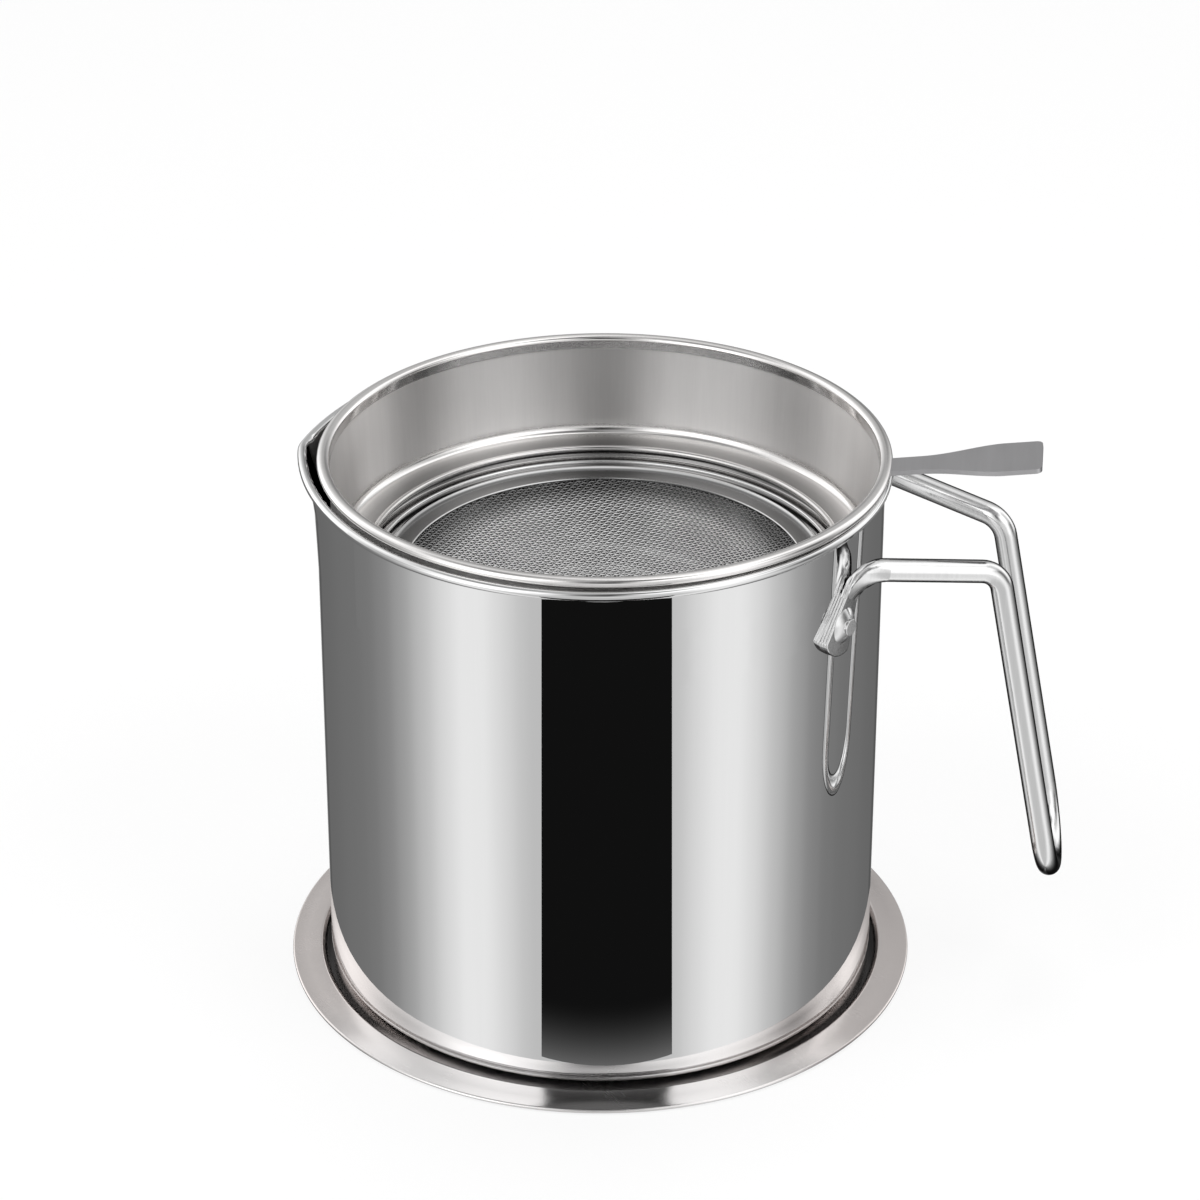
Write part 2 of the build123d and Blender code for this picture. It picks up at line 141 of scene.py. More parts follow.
# Tones above it, from the back (0) by the left, the front (0.5) and the right to the back (1).
TONES_ABOVE = (
    (0.0, 0.30), (0.07, 0.95), (0.125, 1.45), (0.18, 1.30), (0.24, 0.60), (0.295, 0.80), (0.35, 1.75),
    (0.405, 1.40), (0.46, 0.70), (0.515, 0.75), (0.57, 0.75), (0.625, 1.25), (0.68, 0.80), (0.74, 0.15),
    (0.795, 0.95), (0.85, 1.35), (0.905, 0.85), (0.96, 0.30), (1.0, 0.30))
TONES_HIGH = (
    (0.0, 0.52), (0.02, 0.50), (0.07, 0.75), (0.125, 1.20), (0.18, 1.15), (0.24, 0.90), (0.30, 1.15),
    (0.36, 1.40), (0.43, 1.35), (0.465, 0.45), (0.495, 0.08), (0.52, 0.20), (0.55, 1.00), (0.60, 1.35),
    (0.65, 1.40), (0.70, 1.15), (0.745, 0.60), (0.795, 0.95), (0.85, 1.20), (0.90, 0.62), (0.96, 0.52),
    (1.0, 0.52))
TONES_OVERHEAD = (
    (0.0, 0.85), (0.10, 0.70), (0.20, 0.45), (0.28, 0.30), (0.34, 0.40), (0.39, 0.65), (0.44, 0.45),
    (0.50, 0.30), (0.56, 0.18), (0.61, 0.35), (0.66, 1.00), (0.72, 1.40), (0.80, 1.30), (0.90, 0.95),
    (1.0, 0.85))
# The elevations in degrees over which one band of tones gives way to the next.
BELOW_TO_ABOVE = (-12.0, -2.0)
ABOVE_TO_HIGH = (20.0, 30.0)
HIGH_TO_OVERHEAD = (46.0, 60.0)
# How strongly the world lights what isn't steel.
SOFT_STRENGTH = 0.45


def build_world():
    world = bpy.data.worlds.new("studio")
    bpy.context.scene.world = world
    world.use_nodes = True
    tree = world.node_tree
    tree.nodes.clear()
    direction = add_node(tree, "ShaderNodeTexCoord").outputs["Generated"]
    turned = add_node(tree, "ShaderNodeVectorRotate", {"Vector": direction, "Angle": -FRONT_TURN},
                      rotation_type="Z_AXIS").outputs["Vector"]
    x, y, z = coordinates(tree, turned)
    # The azimuth from the front in half turns, and the elevation in degrees.
    forward = maths(tree, "MULTIPLY", y, -1.0)
    azimuth = maths(tree, "DIVIDE", maths(tree, "ARCTAN2", x, forward), math.pi)
    elevation = maths(tree, "MULTIPLY", maths(tree, "ARCSINE", z), 180 / math.pi)
    turn = maths(tree, "MULTIPLY_ADD", azimuth, 0.5, 0.5)
    surround = tone_ramp(tree, maths(tree, "ABSOLUTE", azimuth), TONES_BELOW)
    for band, tones in ((BELOW_TO_ABOVE, TONES_ABOVE), (ABOVE_TO_HIGH, TONES_HIGH),
                        (HIGH_TO_OVERHEAD, TONES_OVERHEAD)):
        upper = tone_ramp(tree, turn, tones)
        surround = mix_colour(tree, map_range(tree, elevation, *band), surround, upper)
    mirrored = add_node(tree, "ShaderNodeBackground", {"Color": surround, "Strength": 1.0})
    plain = add_node(tree, "ShaderNodeBackground", {"Color": grey(1.0), "Strength": 1.0})
    soft = add_node(tree, "ShaderNodeBackground", {"Color": grey(1.0), "Strength": SOFT_STRENGTH})
    path = add_node(tree, "ShaderNodeLightPath").outputs
    seen = add_node(tree, "ShaderNodeMixShader", {0: path["Is Camera Ray"], 1: soft.outputs[0],
                                                  2: plain.outputs[0]})
    full = add_node(tree, "ShaderNodeMixShader", {0: path["Is Glossy Ray"], 1: seen.outputs[0],
                                                  2: mirrored.outputs[0]})
    add_node(tree, "ShaderNodeOutputWorld", {"Surface": full.outputs[0]})


build_world()


# ---- Stage ---------------------------------------------------------------------------------------

FLOOR_SIZE = 8
FLOOR_TONE = 0.92
# How much of the floor's own white the camera sees, and the rest is lit and shaded.
FLOOR_GLOW = 0.80
# The black card: how far before the axis it stands, and its corners (across, height), all in mm.
CARD_DISTANCE = 74
CARD_CORNERS = ((-17.1, 4.9), (21.4, 4.3), (19.9, 133.0), (-16.0, 133.2))
# The card greys towards its foot, from one height to the other in mm.
CARD_FADE = (24, 4.6)
CARD_BLACK = 0.0065
CARD_FOOT_GLOW = 0.14
CARD_FADE_POWER = 2.5
LAMP_TARGET = Vector((0, 0, 0.08))
# Name, place, size and power of each lamp.
LAMPS = (
    ("key", (-0.9, -0.7, 1.5), 0.9, 12),
    ("fill", (1.0, -0.5, 1.3), 0.8, 9),
    ("top", (0.1, 0.5, 1.7), 0.9, 10),
)


def stage_material(name, piece):
    """A new material on a piece of the stage, with no nodes yet."""
    material = bpy.data.materials.new(name)
    material.use_nodes = True
    material.node_tree.nodes.clear()
    piece.data.materials.append(material)
    return material.node_tree


def build_floor():
    bpy.ops.mesh.primitive_plane_add(size=FLOOR_SIZE, location=(0, 0, 0))
    floor = bpy.context.object
    floor.name = "floor"
    tree = stage_material("pale_floor", floor)
    matt = add_node(tree, "ShaderNodeBsdfDiffuse", {"Color": grey(FLOOR_TONE)})
    glow = add_node(tree, "ShaderNodeEmission", {"Color": grey(1.0), "Strength": 1.0})
    direct = add_node(tree, "ShaderNodeLightPath").outputs["Is Camera Ray"]
    share = maths(tree, "MULTIPLY", direct, FLOOR_GLOW)
    both = add_node(tree, "ShaderNodeMixShader", {0: share, 1: matt.outputs[0], 2: glow.outputs[0]})
    add_node(tree, "ShaderNodeOutputMaterial", {"Surface": both.outputs[0]})
    floor.visible_glossy = False


def build_dark_card():
    """A black card that stands just in front of the pot, where only the steel sees it."""
    bpy.ops.object.select_all(action="DESELECT")
    bpy.ops.mesh.primitive_circle_add(vertices=len(CARD_CORNERS), radius=1, fill_type="NGON")
    card = bpy.context.object
    card.name = "dark_card"
    for vertex, (across, height) in zip(card.data.vertices, CARD_CORNERS):
        vertex.co = (across * MM, -CARD_DISTANCE * MM, height * MM)
    card.rotation_euler = (0, 0, FRONT_TURN)
    card.visible_camera = False
    card.visible_diffuse = False
    card.visible_shadow = False
    tree = stage_material("card_black", card)
    place = add_node(tree, "ShaderNodeTexCoord").outputs["Object"]
    fade_top, fade_foot = CARD_FADE
    low = map_range(tree, coordinates(tree, place)["Z"], fade_top * MM, fade_foot * MM, smooth=False)
    fade = maths(tree, "POWER", low, CARD_FADE_POWER)
    tone = maths(tree, "MULTIPLY_ADD", fade, CARD_FOOT_GLOW, CARD_BLACK)
    glow = add_node(tree, "ShaderNodeEmission", {"Color": grey(1.0), "Strength": tone})
    add_node(tree, "ShaderNodeOutputMaterial", {"Surface": glow.outputs[0]})


def area_light(name, place, size, power):
    data = bpy.data.lights.new(name, "AREA")
    data.shape = "SQUARE"
    data.size = size
    data.energy = power
    lamp = bpy.data.objects.new(name, data)
    bpy.context.scene.collection.objects.link(lamp)
    lamp.location = place
    lamp.rotation_euler = (LAMP_TARGET - Vector(place)).to_track_quat("-Z", "Y").to_euler()
    # The steel mirrors the studio alone, and these lamps light the floor.
    lamp.visible_glossy = False


build_floor()
build_dark_card()
for lamp_settings in LAMPS:
    area_light(*lamp_settings)


# ---- Finishes: shared effects --------------------------------------------------------------------

def new_group(name, inputs, outputs):
    """An empty shader group with its sockets: {name: (kind, default)} and output names."""
    group = bpy.data.node_groups.new(name, "ShaderNodeTree")
    for socket_name, (kind, default) in inputs.items():
        socket = group.interface.new_socket(socket_name, in_out="INPUT", socket_type=kind)
        socket.default_value = default
    for socket_name in outputs:
        group.interface.new_socket(socket_name, in_out="OUTPUT", socket_type="NodeSocketFloat")
    return group, group.nodes.new("NodeGroupInput").outputs, group.nodes.new("NodeGroupOutput").inputs


# The noise of the fine and the broad streaks, and the part of its range that each one uses.
FINE_NOISE = {"Scale": 1.0, "Detail": 4.0, "Roughness": 0.65}
FINE_RANGE = (0.30, 0.70)
BROAD_NOISE = {"Scale": 0.16, "Detail": 2.0, "Roughness": 0.5}
BROAD_RANGE = (0.34, 0.66)


def build_streaks():
    """Fine parallel lines left by brushing or drawing: noise squeezed across the lines."""
    group, given, result = new_group(
        "streaks",
        {"Vector": ("NodeSocketVector", (0, 0, 0)), "Stretch": ("NodeSocketVector", (1, 1, 1))},
        ("Fine", "Broad"))
    squeezed = add_node(group, "ShaderNodeVectorMath", {0: given["Vector"], 1: given["Stretch"]},
                        operation="MULTIPLY").outputs[0]
    fine = add_node(group, "ShaderNodeTexNoise", {"Vector": squeezed, **FINE_NOISE}).outputs["Fac"]
    broad = add_node(group, "ShaderNodeTexNoise", {"Vector": squeezed, **BROAD_NOISE}).outputs["Fac"]
    group.links.new(map_range(group, fine, *FINE_RANGE, smooth=False), result["Fine"])
    group.links.new(map_range(group, broad, *BROAD_RANGE), result["Broad"])
    return group


# The two directions of the hair scratches: how far each is turned, and how it is squeezed.
SCRATCH_AXIS = (0.3, 0.5, 0.8)
SCRATCH_DIRECTIONS = ((0.5, (1.5, 40.0, 1.5)), (-0.9, (30.0, 1.0, 2.0)))
SCRATCH_WIDTH = 0.012
# Where the noise of the patches lets the scratches through, and where it smudges.
SCRATCHED_PATCHES = (0.50, 0.66)
SMUDGED_PATCHES = (0.32, 0.72)


def build_scuffs():
    """Handling marks: hair scratches in two directions, broken up, and soft smudges."""
    group, given, result = new_group(
        "scuffs",
        {"Vector": ("NodeSocketVector", (0, 0, 0)), "Scale": ("NodeSocketFloat", 60.0)},
        ("Scratches", "Smudges"))
    patches = add_node(group, "ShaderNodeTexNoise",
                       {"Vector": given["Vector"], "Scale": given["Scale"], "Detail": 2.0}).outputs["Fac"]
    scratches = []
    for turn, squeeze in SCRATCH_DIRECTIONS:
        turned = add_node(group, "ShaderNodeVectorRotate",
                          {"Vector": given["Vector"], "Angle": turn, "Axis": SCRATCH_AXIS}).outputs[0]
        squeezed = add_node(group, "ShaderNodeVectorMath", {0: turned, 1: squeeze},
                            operation="MULTIPLY").outputs[0]
        lines = add_node(group, "ShaderNodeTexNoise", {"Vector": squeezed, "Scale": given["Scale"],
                                                       "Detail": 1.0, "Distortion": 0.3}).outputs["Fac"]
        off_line = maths(group, "ABSOLUTE", maths(group, "SUBTRACT", lines, 0.5))
        scratches.append(map_range(group, off_line, 0.0, SCRATCH_WIDTH, 1.0, 0.0, smooth=False))
    broken = maths(group, "MULTIPLY", maths(group, "MAXIMUM", *scratches),
                   map_range(group, patches, *SCRATCHED_PATCHES))
    group.links.new(broken, result["Scratches"])
    group.links.new(map_range(group, patches, *SMUDGED_PATCHES), result["Smudges"])
    return group


STREAKS = build_streaks()
SCUFFS = build_scuffs()


# ---- Finishes: steel -----------------------------------------------------------------------------

# How the streaks run: squeezed across the lines, in lines per metre.
UPRIGHT = (1400, 1400, 18)
AROUND = (22, 22, 2600)
# Shares of the two kinds of streaks in the grain, and of the smudges in the handling marks.
FINE_SHARE = 0.6
BROAD_SHARE = 0.4
SMUDGE_SHARE = 0.4
SCRATCH_RELIEF = 0.5
# Between these two Layer Weights, a rod darkens towards its outline, painted shade along the outline.
PAINTED_OUTLINE_FADE = (0.42, 0.68)
# The brushed zone fades in over the first of these heights and out over the second, in mm.
BRUSH_FADES = (3, 1)


def scaled_colour(tree, colour, factor):
    """A colour times a grey factor."""
    if isinstance(colour, tuple):
        colour = colour[:3]
    return add_node(tree, "ShaderNodeVectorMath", {0: factor, 1: colour}, operation="MULTIPLY").outputs[0]


def brushed_zone(tree, place, low, high):
    """1 between two heights in mm, and 0 above and below."""
    height = coordinates(tree, place)["Z"]
    fade_in, fade_out = BRUSH_FADES
    return maths(tree, "MULTIPLY", map_range(tree, height, low * MM, (low + fade_in) * MM),
                 map_range(tree, height, (high - fade_out) * MM, high * MM, 1.0, 0.0))


def steel(name, colour, roughness, stretch, tone=0.04, drag=0.03, relief=0.0, scuff=0.05, scale=60.0,
          brushed=None, smooth=0.0, shade=None, outline=0.0, ridges=None):
    """Stainless steel with its grain.

    tone is how far the streaks change the colour, drag and scuff how far streaks and handling marks
    change the roughness, and relief the streaks' depth in mm. Between the brushed heights, a
    (low, high) pair in mm, the steel is brushed upright, and elsewhere its roughness is smooth. The
    functions shade and ridges give a factor of the colour and a height from the place; that factor
    paints shade and highlights into the colour. outline is how far the steel darkens where it is
    seen edge-on, painted shade along the outline.
    """
    material = bpy.data.materials.new(name)
    material.use_nodes = True
    tree = material.node_tree
    shader = tree.nodes["Principled BSDF"].inputs
    shader["Metallic"].default_value = 1.0
    place = add_node(tree, "ShaderNodeTexCoord").outputs["Object"]
    streaks = add_node(tree, "ShaderNodeGroup", node_tree=STREAKS)
    set_input(tree, streaks.inputs["Vector"], place)
    set_input(tree, streaks.inputs["Stretch"], stretch)
    scuffs = add_node(tree, "ShaderNodeGroup", node_tree=SCUFFS)
    set_input(tree, scuffs.inputs["Vector"], place)
    set_input(tree, scuffs.inputs["Scale"], scale)
    grain = maths(tree, "ADD", maths(tree, "MULTIPLY", streaks.outputs["Fine"], FINE_SHARE),
                  maths(tree, "MULTIPLY", streaks.outputs["Broad"], BROAD_SHARE))

    tint = maths(tree, "MULTIPLY_ADD", grain, 2 * tone, 1 - tone)
    # Painted shade and highlights: a factor of the place darkens or lightens the colour.
    if shade:
        tint = maths(tree, "MULTIPLY", tint, shade(tree, place))
    # Painted shade: the colour darkens where the steel is seen edge-on.
    if outline:
        facing = add_node(tree, "ShaderNodeLayerWeight", {"Blend": 0.5}).outputs["Facing"]
        kept = map_range(tree, facing, *PAINTED_OUTLINE_FADE, 1.0, 1.0 - outline)
        tint = maths(tree, "MULTIPLY", tint, kept)
        set_input(tree, shader["Specular Tint"], scaled_colour(tree, grey(1.0), kept))
    if callable(colour):
        colour = colour(tree, place)
    set_input(tree, shader["Base Color"], scaled_colour(tree, colour, tint))

    marks = maths(tree, "ADD", maths(tree, "MULTIPLY", scuffs.outputs["Scratches"], scuff),
                  maths(tree, "MULTIPLY", scuffs.outputs["Smudges"], scuff * SMUDGE_SHARE))
    rough = maths(tree, "ADD", maths(tree, "MULTIPLY", grain, drag), marks)
    if brushed:
        inside = brushed_zone(tree, place, *brushed)
        roughness = maths(tree, "MULTIPLY_ADD", inside, roughness - smooth, smooth)
        set_input(tree, shader["Anisotropic"], inside)
        shader["Anisotropic Rotation"].default_value = 0.25
        tangent = add_node(tree, "ShaderNodeTangent", direction_type="RADIAL", axis="Z")
        set_input(tree, shader["Tangent"], tangent.outputs[0])
    set_input(tree, shader["Roughness"], maths(tree, "ADD", rough, roughness))

    if relief:
        height = maths(tree, "SUBTRACT", streaks.outputs["Fine"],
                       maths(tree, "MULTIPLY", scuffs.outputs["Scratches"], SCRATCH_RELIEF))
        if ridges:
            height = maths(tree, "ADD", height, ridges(tree, place))
        bump = add_node(tree, "ShaderNodeBump",
                        {"Height": height, "Strength": 1.0, "Distance": relief * MM})
        set_input(tree, shader["Normal"], bump.outputs[0])
    return material


# ---- Finishes: painted shade of each piece -------------------------------------------------------

frame_low, frame_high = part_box("mesh_frame")
STRAINER_AXIS_X = (frame_low[0] + frame_high[0]) / 2
# Painted shade and highlights by the distance from the strainer's axis in mm: the mesh, the mesh's
# ring and the cup's ledge.
WEAVE_TONES = ((30, 1.0), (38, 1.0), (46, 0.35), (52, 0.25))
FRAME_TONES = (
    (49, 0.75), (49.7, 0.75), (50.0, 0.35), (53.7, 0.25), (54.1, 0.95), (54.7, 0.95), (54.95, 0.35),
    (55.5, 0.60), (56.4, 0.35), (56.6, 1.0), (58, 1.0))
LEDGE_TONES = (
    (54, 0.30), (57.3, 0.60), (57.7, 0.80), (58.9, 0.95), (59.3, 0.42), (61.5, 0.52), (63.4, 0.75),
    (64.2, 1.0), (69, 1.0))
# Painted shade by the height in mm: the dark crease under the ledge's bead.
CREASE_TONES = ((111, 0.75), (111.81, 0.75), (112.26, 0.04), (112.86, 0.04), (113.28, 1.0), (114, 1.0))
# Painted shade by the distance from the tray's axis in mm, in front and beside the pot: the dark groove.
GROOVE_FRONT_TONES = ((70, 1.0), (71.1, 1.0), (71.25, 0.03), (72.45, 0.03), (72.55, 1.0), (74, 1.0))
GROOVE_SIDE_TONES = ((64, 1.0), (67.5, 1.0), (69.2, 0.03), (71.35, 0.03), (71.5, 1.0), (74, 1.0))
# The front of the tray gives way to its sides between these places in Y, in mm.
GROOVE_FADE = (-60, -46)
TINT_FADE = (-72, -35)
# Front and side colours of the tray: the warmer sides are a painted warm reflection.
TRAY_FRONT_COLOUR = (0.87, 0.85, 0.845, 1)
TRAY_SIDE_COLOUR = (0.83, 0.775, 0.755, 1)
# The forging lines: which way the lug points, their pitch and height, and where they end, in mm.
LUG_AZIMUTH = math.radians(29.1)
LUG_LINE_PITCH = 0.75
LUG_LINE_HEIGHT = 35.0
LUG_LINE_DEPTH = (71.5, 71.7)
LUG_LINE_TOP = (122, 127)


def ring_tones(centre_x, stops):
    """A painted shade function of the distance from an upright axis: (mm, tone) stops."""
    def shade(tree, place):
        x, y = coordinates(tree, place)[:2]
        flat = add_node(tree, "ShaderNodeCombineXYZ", {"X": maths(tree, "SUBTRACT", x, centre_x), "Y": y})
        radius = add_node(tree, "ShaderNodeVectorMath", {0: flat.outputs[0]}, operation="LENGTH")
        return tones_by_distance(tree, radius.outputs["Value"], stops)
    return shade


def cup_painted_shade(tree, place):
    """Painted shade and highlights: the ledge is darker than the wall, its bead lighter, and the step
    below its bead dark.
    """
    rings = ring_tones(STRAINER_AXIS_X, LEDGE_TONES)(tree, place)
    crease = tones_by_distance(tree, coordinates(tree, place)["Z"], CREASE_TONES)
    return maths(tree, "MULTIPLY", rings, crease)


def from_the_front(tree, place, fade):
    """0 at the front and 1 beyond it, with a fade between two places in Y, in mm."""
    first, last = fade
    return map_range(tree, coordinates(tree, place)["Y"], first * MM, last * MM)


def tray_colour_with_painted_reflection(tree, place):
    """The tray's colour is warmer at its sides than in front, a painted warm reflection."""
    return mix_colour(tree, from_the_front(tree, place, TINT_FADE), TRAY_FRONT_COLOUR, TRAY_SIDE_COLOUR)


def tray_painted_shade(tree, place):
    """Painted shade: the groove between the tray's rim and the pot is dark where it is looked into
    directly.
    """
    front = ring_tones(0.0, GROOVE_FRONT_TONES)(tree, place)
    beside = ring_tones(0.0, GROOVE_SIDE_TONES)(tree, place)
    groove = mix_colour(tree, from_the_front(tree, place, GROOVE_FADE), front, beside)
    direct = add_node(tree, "ShaderNodeLightPath").outputs["Is Camera Ray"]
    return mix_colour(tree, direct, grey(1.0), groove)


def lug_ridges(tree, place):
    """Forging lines along the narrow side of each flattened lug."""
    x, y, z = coordinates(tree, place)
    depth = maths(tree, "ADD", maths(tree, "MULTIPLY", x, math.cos(LUG_AZIMUTH)),
                  maths(tree, "MULTIPLY", maths(tree, "ABSOLUTE", y), math.sin(LUG_AZIMUTH)))
    wave = maths(tree, "SINE", maths(tree, "MULTIPLY", depth, 2 * math.pi / (LUG_LINE_PITCH * MM)))
    inner, outer = LUG_LINE_DEPTH
    lower, upper = LUG_LINE_TOP
    beside = map_range(tree, depth, inner * MM, outer * MM, 1.0, 0.0)
    below = map_range(tree, z, lower * MM, upper * MM, 1.0, 0.0)
    return maths(tree, "MULTIPLY", maths(tree, "MULTIPLY", wave, LUG_LINE_HEIGHT),
                 maths(tree, "MULTIPLY", beside, below))


# ---- Finishes: one for each kind of piece --------------------------------------------------------

# Painted shade and highlights go into the cup, ring, tray and mesh colours, and the rod is painted darker
# at its outline.
POT = steel("pot_polish", grey(0.8), 0.015, UPRIGHT, tone=0.008, drag=0.006, scuff=0.02, scale=40)
ROD = steel("rod_polish", grey(0.86), 0.11, UPRIGHT, tone=0.05, drag=0.08, relief=0.002, scuff=0.06,
            outline=0.8, ridges=lug_ridges)
CUP = steel("cup_satin", (0.88, 0.865, 0.855), 0.34, UPRIGHT, tone=0.03, drag=0.05, relief=0.0010,
            scuff=0.05, brushed=(115.0, 138.5), smooth=0.06, shade=cup_painted_shade)
RING = steel("ring_satin", grey(0.82), 0.07, AROUND, tone=0.05, drag=0.05, relief=0.0010, scuff=0.08,
             shade=ring_tones(STRAINER_AXIS_X, FRAME_TONES))
BLADE = steel("blade_matt", (0.56, 0.555, 0.565), 0.33, (900, 60, 900), tone=0.035, drag=0.05,
              relief=0.002, scuff=0.08)
TRAY = steel("tray_satin", tray_colour_with_painted_reflection, 0.22, (500, 500, 500), tone=0.02, drag=0.04, relief=0.0006,
             scuff=0.05, shade=tray_painted_shade)
WEAVE = steel("mesh_wire", grey(0.78), 0.14, (700, 700, 700), tone=0.10, drag=0.08, scuff=0.05,
              shade=ring_tones(STRAINER_AXIS_X, WEAVE_TONES))
RIVET = steel("rivet_polish", grey(0.80), 0.16, (400, 400, 400), tone=0.04, drag=0.06, relief=0.001,
              scuff=0.06)

FINISHES = {
    "drip_tray": TRAY,
    "pot_shell": POT,
    "handle_wire": ROD,
    "rivet_front": RIVET,
    "rivet_rear": RIVET,
    "strainer_cup": CUP,
    "mesh_frame": RING,
    "mesh_clamp_ring": RING,
    "strainer_mesh": WEAVE,
    "strainer_blade": BLADE,
}
for node_name, finish in FINISHES.items():
    for slot in nodes[node_name].material_slots:
        slot.material = finish


# ---- Turned pieces --------------------------------------------------------------------------------

# Profiles are (radius, height) points in mm. A bead is (centre radius, centre height, its radius).
# The tray's floor is closed flat inside its hub.
TRAY_HUB = 12
TRAY_SHEET = 0.6
TRAY_OUTER_BEAD = (79.2, 0.9, 0.5)
TRAY_INNER_LIP = (72.51, 1.53, 0.7)

STRAINER_SHEET = 0.5
SEAT_RADIUS = 54.5
SEAT_LOW = 109.1
SEAT_TOP = SEAT_LOW + STRAINER_SHEET
LEDGE_BEAD = (58.55, 113.25, 0.9)
SHOULDER = (63.402, 117.011)
SHOULDER_INSIDE = 2.6
SHOULDER_OUTSIDE = SHOULDER_INSIDE + STRAINER_SHEET
# The rolled rim is a little flatter than round: centre radius and height, half width, half height.
CUP_RIM = (68.6, 140, 1.6, 1.3)

MESH_RING_LOW = 108.6
MESH_RING_INSIDE = 49.5
MESH_RING_STEP = 52.7
MESH_RING_CURL = (57.1, 110.1, 0.5)
MESH_RING_BEND = (54.5, 109.7, 0.4)

LATHE_SEGMENTS = 256
SMOOTH_ANGLE = math.radians(35)


def ellipse_arc(centre_x, centre_z, wide, tall, start, end, steps):
    """Points on a profile's oval arc, from one angle to another in degrees."""
    angles = (math.radians(start + (end - start) * step / steps) for step in range(steps + 1))
    return [(centre_x + wide * math.cos(angle), centre_z + tall * math.sin(angle)) for angle in angles]


def arc(centre_x, centre_z, radius, start, end, steps):
    return ellipse_arc(centre_x, centre_z, radius, radius, start, end, steps)


def lathe(name, profile, centre_x, material, body, node_name):
    """A ring drawn out point by point along a closed profile, in place of a CAD node."""
    bpy.ops.object.select_all(action="DESELECT")
    radius, height = profile[0]
    bpy.ops.mesh.primitive_circle_add(vertices=LATHE_SEGMENTS, radius=radius * MM,
                                      location=(centre_x, 0, height * MM))
    piece = bpy.context.object
    piece.name = name
    bpy.ops.object.transform_apply(location=True, rotation=True, scale=True)
    bpy.ops.object.mode_set(mode="EDIT")
    bpy.ops.mesh.select_all(action="SELECT")
    for next_radius, next_height in profile[1:]:
        rise = (next_height - height) * MM
        ratio = next_radius / radius
        bpy.ops.mesh.extrude_region_move(TRANSFORM_OT_translate={"value": (0, 0, rise)})
        bpy.ops.transform.resize(value=(ratio, ratio, 1), center_override=(centre_x, 0, next_height * MM))
        radius, height = next_radius, next_height
    bpy.ops.mesh.select_all(action="SELECT")
    bpy.ops.mesh.remove_doubles(threshold=0.001 * MM)
    bpy.ops.mesh.fill_holes(sides=0)
    bpy.ops.mesh.normals_make_consistent(inside=False)
    bpy.ops.object.mode_set(mode="OBJECT")
    bpy.ops.object.shade_smooth_by_angle(angle=SMOOTH_ANGLE)
    piece.data.materials.append(material)
    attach(piece, body)
    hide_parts(node_name)


# From the middle of the underside round the outer bead and the lip back to the middle of the floor.
tray_profile = (
    [(TRAY_HUB, 0), (71.25, 0), (71.5, 0.2), (72.0, 1.55), (72.25, 1.66)]
    + arc(*TRAY_OUTER_BEAD, -176, 98, 24)
    + [(76, 1.80)]
    + arc(*TRAY_INNER_LIP, 83, 145, 6)
    + [(71.1, 0.9), (70.9, 0.68), (70.6, TRAY_SHEET), (TRAY_HUB, TRAY_SHEET)]
)
# From the seat up the inside, over the rim and down the outside.
cup_profile = (
    [(SEAT_RADIUS, SEAT_LOW), (SEAT_RADIUS, SEAT_TOP), (58.3, SEAT_TOP)]
    + arc(*LEDGE_BEAD, 254, 28.5, 18)
    + arc(*SHOULDER, SHOULDER_INSIDE, -80.3, -2.7, 14)
    + ellipse_arc(*CUP_RIM, 194, -129.6, 32)
    + arc(*SHOULDER, SHOULDER_OUTSIDE, -2.7, -80.3, 8)
    + arc(*LEDGE_BEAD, -9, -74, 4)
    + [(58.8, SEAT_LOW), (SEAT_RADIUS, SEAT_LOW)]
)
# From the inner edge out along the underside, round the curl and back over the top.
mesh_ring_profile = (
    [(MESH_RING_INSIDE, MESH_RING_LOW), (MESH_RING_STEP, MESH_RING_LOW), (SEAT_RADIUS, SEAT_TOP)]
    + arc(*MESH_RING_CURL, -90, 180, 14)
    + [(54.9, 110.1)]
    + arc(*MESH_RING_BEND, 75, 119, 4)
    + [(MESH_RING_STEP, SEAT_LOW), (49.7, SEAT_LOW), (MESH_RING_INSIDE, 108.95),
       (MESH_RING_INSIDE, MESH_RING_LOW)]
)
lathe("drip_tray_turned", tray_profile, 0.0, TRAY, "tray", "drip_tray")
lathe("strainer_cup_turned", cup_profile, STRAINER_AXIS_X, CUP, "strainer",
      "strainer_cup")
lathe("mesh_frame_turned", mesh_ring_profile, STRAINER_AXIS_X, RING, "strainer",
      "mesh_frame")


# ---- Woven mesh ----------------------------------------------------------------------------------

WEAVE_PITCH = 1.1 * MM
WIRE_RADIUS = 0.2 * MM
WIRE_SIDES = 4
WEAVE_RADIUS = 51.5 * MM
DISH_RADIUS = 49.5 * MM
DISH_DEPTH = 3.0 * MM
WEAVE_EDGE_Z = 108.35 * MM
WEAVE_TURN = math.radians(25)


def repeat(piece, step, count, merged=False):
    """Copies a piece in a row with an array, and applies it."""
    row = piece.modifiers.new("row", "ARRAY")
    row.use_relative_offset = False
    row.use_constant_offset = True
    row.constant_offset_displace = step
    row.count = count
    row.use_merge_vertices = merged
    row.merge_threshold = WIRE_RADIUS / 10
    bpy.context.view_layer.objects.active = piece
    bpy.ops.object.modifier_apply(modifier=row.name)


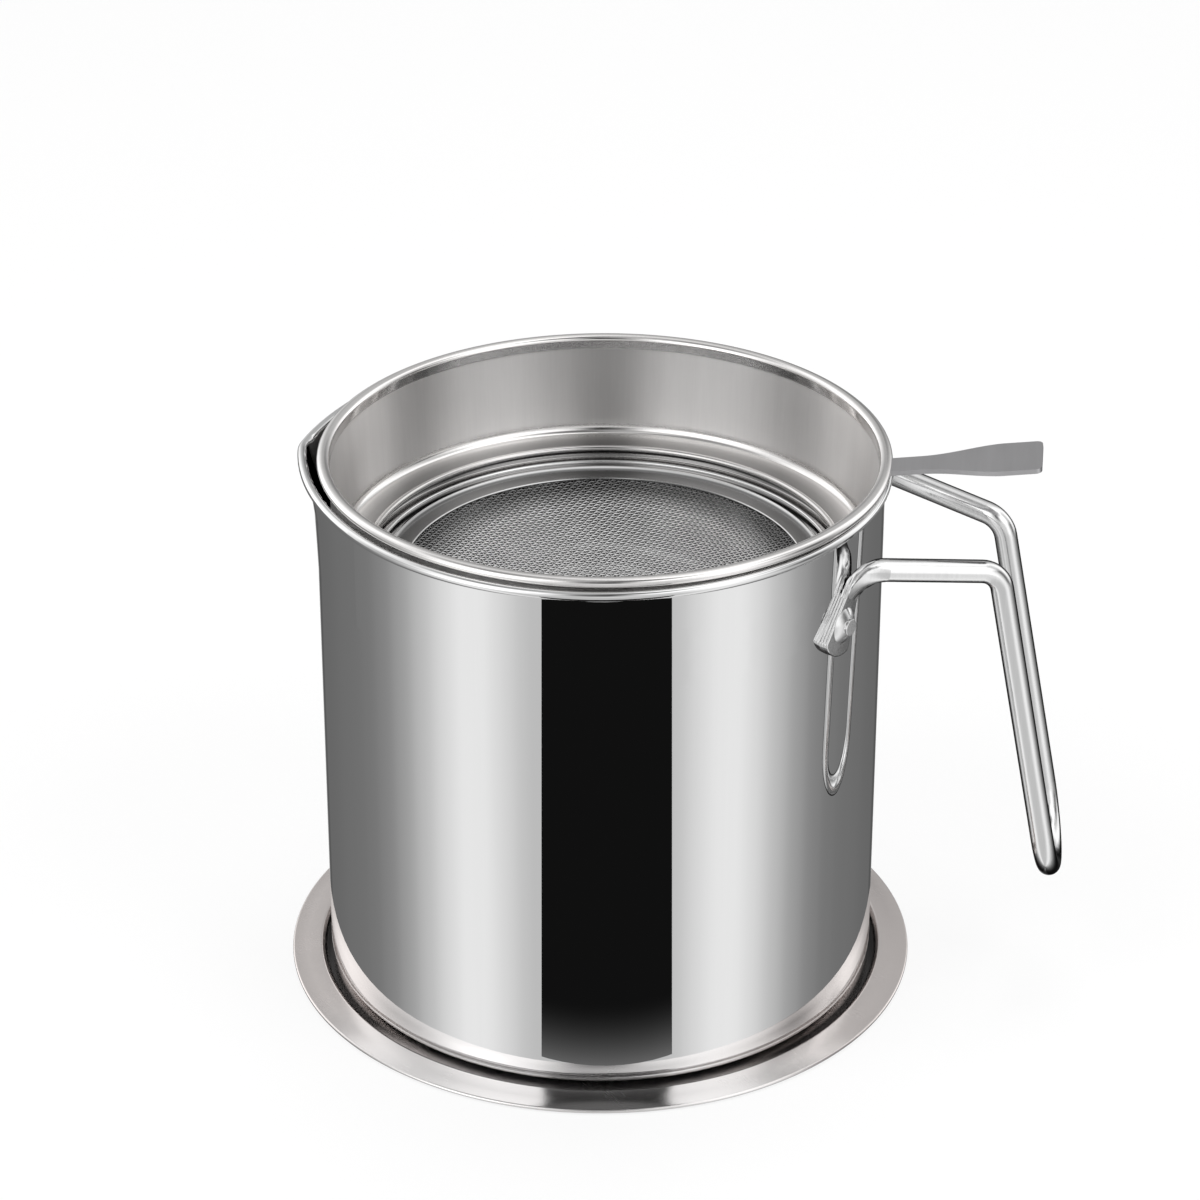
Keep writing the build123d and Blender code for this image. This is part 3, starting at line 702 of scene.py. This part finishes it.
def cut_to_disc(piece):
    """Deletes the faces beyond the disc and closes the wires' cut ends."""
    bpy.ops.object.mode_set(mode="EDIT")
    bpy.ops.mesh.select_mode(type="FACE")
    bpy.ops.mesh.select_all(action="DESELECT")
    bpy.ops.object.mode_set(mode="OBJECT")
    for face in piece.data.polygons:
        face.select = face.center.xy.length > WEAVE_RADIUS
    bpy.ops.object.mode_set(mode="EDIT")
    bpy.ops.mesh.delete(type="FACE")
    bpy.ops.mesh.select_mode(type="VERT")
    bpy.ops.mesh.select_all(action="SELECT")
    bpy.ops.mesh.delete_loose()
    bpy.ops.mesh.select_all(action="SELECT")
    bpy.ops.mesh.fill_holes(sides=WIRE_SIDES)
    bpy.ops.mesh.select_all(action="SELECT")
    bpy.ops.mesh.normals_make_consistent(inside=False)
    bpy.ops.object.mode_set(mode="OBJECT")


def weave_wires(name, turn, phase):
    """One direction of the weave: parallel zigzag wires, cut to the disc and dished."""
    count = 2 * math.ceil(WEAVE_RADIUS / WEAVE_PITCH / 2 + 1)
    reach = count * WEAVE_PITCH
    bend = 2 * WIRE_RADIUS * phase
    bpy.ops.object.select_all(action="DESELECT")
    bpy.ops.mesh.primitive_circle_add(vertices=WIRE_SIDES, radius=WIRE_RADIUS,
                                      location=(-reach, 0, WIRE_RADIUS * phase),
                                      rotation=(0, math.pi / 2, 0))
    wire = bpy.context.object
    wire.name = name
    bpy.ops.object.transform_apply(location=True, rotation=True, scale=True)
    bpy.ops.object.mode_set(mode="EDIT")
    bpy.ops.mesh.select_all(action="SELECT")
    bpy.ops.mesh.extrude_region_move(TRANSFORM_OT_translate={"value": (WEAVE_PITCH, 0, -bend)})
    bpy.ops.mesh.extrude_region_move(TRANSFORM_OT_translate={"value": (WEAVE_PITCH, 0, bend)})
    bpy.ops.object.mode_set(mode="OBJECT")
    repeat(wire, (2 * WEAVE_PITCH, 0, 0), count, merged=True)
    # The neighbour is the same wire moved one pitch along, so that it rises where this one falls.
    bpy.ops.object.mode_set(mode="EDIT")
    bpy.ops.mesh.select_all(action="SELECT")
    bpy.ops.mesh.duplicate_move(TRANSFORM_OT_translate={"value": (WEAVE_PITCH, WEAVE_PITCH, 0)})
    bpy.ops.mesh.select_all(action="SELECT")
    bpy.ops.transform.translate(value=(0, -reach, 0))
    bpy.ops.object.mode_set(mode="OBJECT")
    repeat(wire, (0, 2 * WEAVE_PITCH, 0), count)
    cut_to_disc(wire)
    wire.data.transform(Matrix.Rotation(turn, 4, "Z"))
    for vertex in wire.data.vertices:
        share = min(1.0, vertex.co.xy.length / DISH_RADIUS)
        vertex.co.z += WEAVE_EDGE_Z - DISH_DEPTH * (1 - share * share)
        vertex.co.x += STRAINER_AXIS_X
    for polygon in wire.data.polygons:
        polygon.use_smooth = True
    wire.data.materials.append(WEAVE)
    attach(wire, "strainer")
    return wire


warp = weave_wires("mesh_warp", WEAVE_TURN, 1)
weave_wires("mesh_weft", WEAVE_TURN + math.pi / 2, -1)
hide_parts("strainer_mesh")

bpy.context.scene.view_settings.view_transform = "Standard"
